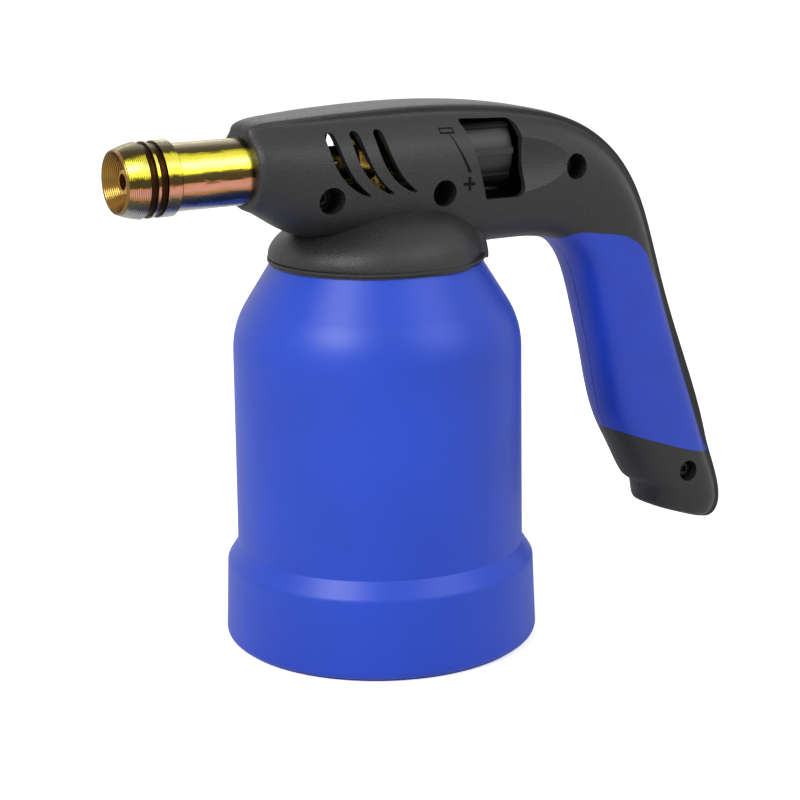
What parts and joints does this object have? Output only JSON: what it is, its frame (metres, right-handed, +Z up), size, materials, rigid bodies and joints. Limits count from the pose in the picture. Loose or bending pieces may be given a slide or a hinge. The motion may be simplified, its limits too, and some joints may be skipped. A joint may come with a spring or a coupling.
{
  "type": "gas blowlamp",
  "caption": "Hand-held gas blowlamp with a bell-shaped cartridge housing, a black pistol-style casing with soft grips, a level burner and a rotary regulator knob.",
  "frame": {"origin": "centre of the base cup's foot ring, on the cartridge's axis, at floor level", "axes": "+Z up along the cartridge's axis, -X along the burner to its mouth, +X towards the handle, Y across the casing"},
  "size_m": [0.2377, 0.108, 0.1837],
  "materials": {
    "shell_plastic": "moulded, satin to semi-gloss",
    "cup_plastic": "moulded, satin",
    "cartridge_steel": "plain lacquered tinplate",
    "brass": "turned",
    "sintered_bronze": "porous, matt",
    "steel": "zinc plated",
    "seal_rubber": "matt",
    "burner_steel": "zinc plated and yellow passivated, polished",
    "knob_plastic": "moulded, satin",
    "casing_plastic": "fine grained",
    "grip_rubber": "soft touch, smooth"
  },
  "bodies": {
    "base": {"base_cup": "cup_plastic"},
    "cartridge": {"cartridge_body": "cartridge_steel", "cartridge_bottom": "cartridge_steel"},
    "housing": {"shell": "shell_plastic", "valve_body": "brass", "piercing_needle": "steel", "cartridge_seal": "seal_rubber", "neck_washer": "steel", "neck_nut": "brass", "gas_filter": "sintered_bronze", "gas_jet": "brass", "mixing_tube": "burner_steel", "burner_tube": "burner_steel", "burner_tip": "burner_steel", "flame_nozzle": "brass", "gland_nut": "brass", "casing_left": "casing_plastic", "casing_right": "casing_plastic", "grip_left": "grip_rubber", "grip_right": "grip_rubber", "casing_screws": "steel"},
    "spindle": {"spindle_o_ring": "seal_rubber"},
    "knob": {"regulator_spindle": "brass", "regulator_knob": "knob_plastic", "knob_screw": "steel"}
  },
  "joints": [
    {"name": "head_turn", "type": "hinge", "parent": "base", "child": "cartridge", "pos_m": [0, 0, 0], "axis": [0, 0, 1], "range_deg": [0, 720]},
    {"name": "head_lift", "type": "slide", "parent": "cartridge", "child": "housing", "axis": [0, 0, 1], "range_m": [0, 0.105]},
    {"name": "spindle_travel", "type": "slide", "parent": "housing", "child": "spindle", "axis": [1, 0, 0], "range_m": [0, 0.0015]},
    {"name": "regulator_turn", "type": "hinge", "parent": "spindle", "child": "knob", "pos_m": [0.035, 0, 0.1651], "axis": [1, 0, 0], "range_deg": [0, 720]}
  ],
  "couplings": [
    {"joint": "spindle_travel", "follows": "regulator_turn", "m_per_rad": 0.00011937}
  ]
}
